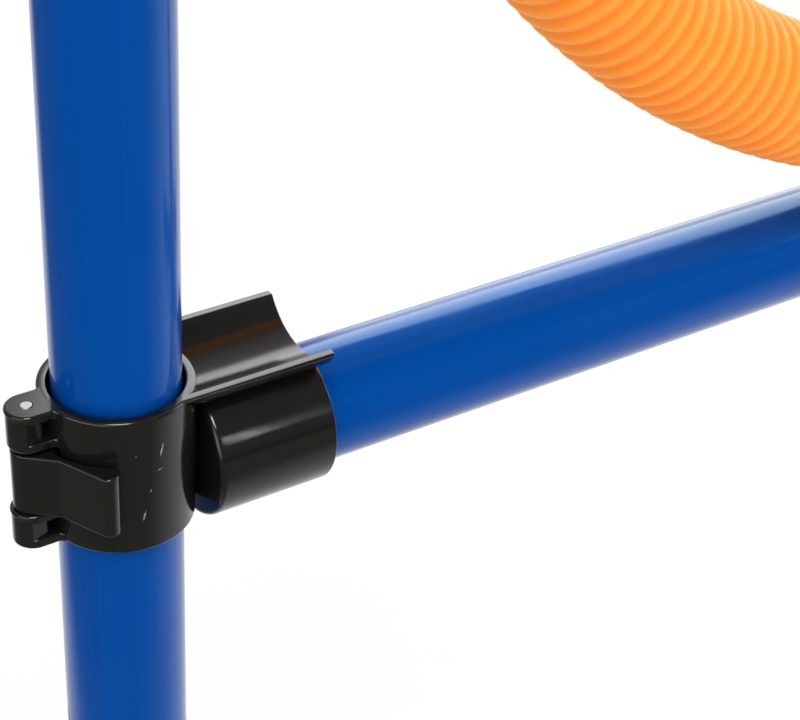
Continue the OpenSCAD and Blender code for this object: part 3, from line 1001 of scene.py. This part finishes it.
# In gloss, only a pale sweep under and behind the object shows.
# Past its front and left edges, each a direction with where it starts and ends, the floor looks dim.
SWEEP_FRONT = Vector((0.55, 0.83, 0))
SWEEP_FRONT_EDGE = (-0.38, 0.12)
SWEEP_LEFT = Vector((1, 0, 0))
SWEEP_LEFT_EDGE = (-0.54, -0.38)
SKY_EDGE = (0, 0.5)
SKY_LEVEL = 0.21
# Lamps round the lower left clamp: azimuth and elevation in degrees, distance, width, height, radiance
SOFTBOXES = {
    "back_softbox": (55.2, 28.5, 2.4, 2.4, 1.27, 4.3),
    "back_glow": (55.2, 2.4, 1.5, 1.5, 0.7, 1.4),
    "right_softbox": (100, 20, 2.4, 1.8, 1.5, 2.8),
    "front_softbox": (203, 59, 2.4, 0.9, 1.0, 14.1),
    "left_softbox": (248, 12, 2.4, 2.6, 1.6, 2.2),
    "window": (154.5, 22, 1.5, 0.015, 0.3, 25),
    "right_fill": (142, 10, 2.4, 2, 1.2, 2.1),
}
# The lamp that doesn't show in gloss
FILL = "right_fill"


def add_camera():
    """Camera at the photograph's viewing angle, a little rolled."""
    forward = (CAMERA_AIM - CAMERA_PLACE).normalized()
    right = forward.cross(Vector((0, 0, 1))).normalized()
    up = right.cross(forward)
    side = right * math.cos(CAMERA_ROLL) + up * math.sin(CAMERA_ROLL)
    top = up * math.cos(CAMERA_ROLL) - right * math.sin(CAMERA_ROLL)
    data = bpy.data.cameras.new("camera")
    data.lens = CAMERA_LENS
    data.sensor_width = SENSOR_W
    data.sensor_fit = "HORIZONTAL"
    camera = bpy.data.objects.new("camera", data)
    turn = Matrix((side, top, -forward)).transposed().to_4x4()
    camera.matrix_world = Matrix.Translation(CAMERA_PLACE) @ turn
    bpy.context.scene.collection.objects.link(camera)
    bpy.context.scene.camera = camera


def beyond(tree, place, direction, edge):
    """Share from 0 to 1 across a soft edge, for places further along a direction."""
    reach = add(tree, "ShaderNodeVectorMath", {0: place}, operation="DOT_PRODUCT")
    tune(reach, {1: direction})
    return span_of(tree, reach.outputs["Value"], 0, 1, *edge)


def white_share(tree, pale, camera_share):
    """How white the background looks: evenly to the camera, and its pale part in gloss and glass."""
    path = add(tree, "ShaderNodeLightPath").outputs
    mirrored = calc(tree, "MAXIMUM", path["Is Glossy Ray"], path["Is Transmission Ray"])
    dimmed = calc(tree, "MULTIPLY", mirrored, GLOSSY_WHITE)
    part = calc(tree, "MULTIPLY", dimmed, pale)
    seen = calc(tree, "MULTIPLY", path["Is Camera Ray"], camera_share)
    return calc(tree, "MAXIMUM", part, seen)


def add_floor():
    """Pale floor that looks white to the camera, and dim in gloss past the sweep's edges."""
    half = FLOOR_HALF
    corners = [(-half, -half, 0), (half, -half, 0), (half, half, 0), (-half, half, 0)]
    floor = make("floor", corners, [(0, 1, 2, 3)])
    material = bpy.data.materials.new("floor")
    material.use_nodes = True
    tree = material.node_tree
    tree.nodes.clear()
    place = add(tree, "ShaderNodeTexCoord").outputs["Object"]
    front = beyond(tree, place, SWEEP_FRONT, SWEEP_FRONT_EDGE)
    left = beyond(tree, place, SWEEP_LEFT, SWEEP_LEFT_EDGE)
    pale = calc(tree, "MINIMUM", front, left)
    path = add(tree, "ShaderNodeLightPath").outputs
    outside_gloss = calc(tree, "SUBTRACT", 1, path["Is Glossy Ray"])
    tone = mixed(tree, calc(tree, "MAXIMUM", pale, outside_gloss), FLOOR_DIM, FLOOR_PALE)
    paint = add(tree, "ShaderNodeBsdfDiffuse", {"Color": tone})
    white = add(tree, "ShaderNodeEmission")
    share = white_share(tree, pale, FLOOR_WHITE)
    mix = add(tree, "ShaderNodeMixShader", {0: share, 1: paint.outputs[0], 2: white.outputs[0]})
    output = add(tree, "ShaderNodeOutputMaterial")
    tree.links.new(mix.outputs[0], output.inputs["Surface"])
    floor.data.materials.append(material)


def add_world():
    """Dim sky that looks white to the camera, and pale behind the object in gloss."""
    world = bpy.data.worlds.new("studio")
    world.use_nodes = True
    tree = world.node_tree
    tree.nodes.clear()
    direction = add(tree, "ShaderNodeTexCoord").outputs["Generated"]
    share = white_share(tree, beyond(tree, direction, SWEEP_FRONT, SKY_EDGE), 1)
    level = span_of(tree, share, low=SKY_LEVEL, high=1, start=0, end=1)
    sky = add(tree, "ShaderNodeBackground", {"Strength": level})
    output = add(tree, "ShaderNodeOutputWorld")
    tree.links.new(sky.outputs[0], output.inputs["Surface"])
    bpy.context.scene.world = world


def add_softbox(name, place, width, height, radiance):
    """Area lamp aimed at the lower left clamp. A radiance of 1 is as bright as a white background."""
    data = bpy.data.lights.new(name, "AREA")
    data.shape = "RECTANGLE"
    data.size = width
    data.size_y = height
    data.energy = radiance * math.pi * width * height
    lamp = bpy.data.objects.new(name, data)
    lamp.location = place
    lamp.rotation_euler = (CORNER - place).to_track_quat("-Z", "Y").to_euler()
    lamp.visible_camera = False
    lamp.visible_glossy = name != FILL
    bpy.context.scene.collection.objects.link(lamp)


def around(azimuth, elevation, distance):
    """Place round the lower left clamp. Azimuth 0 is towards the back, 90 along the crossbar."""
    turn = math.radians(azimuth)
    rise = math.radians(elevation)
    flat = distance * math.cos(rise)
    return CORNER + Vector((flat * math.sin(turn), flat * math.cos(turn), distance * math.sin(rise)))


def add_lights():
    for name, (azimuth, elevation, distance, width, height, radiance) in SOFTBOXES.items():
        add_softbox(name, around(azimuth, elevation, distance), width, height, radiance)


def build():
    add_camera()
    moulding = black_moulding()
    fitting = black_fitting()
    tubes = {axis: blue_tube(axis) for axis in "xyz"}
    add_hose(orange_hose())
    add_clamps(moulding, pin_steel())
    tape = black_strap()
    for level in LEVELS:
        add_strap(level, tape)
    add_tees(fitting)
    paint_nodes(tubes, fitting)
    add_floor()
    add_world()
    add_lights()
    bpy.context.scene.view_settings.view_transform = "Standard"


build()
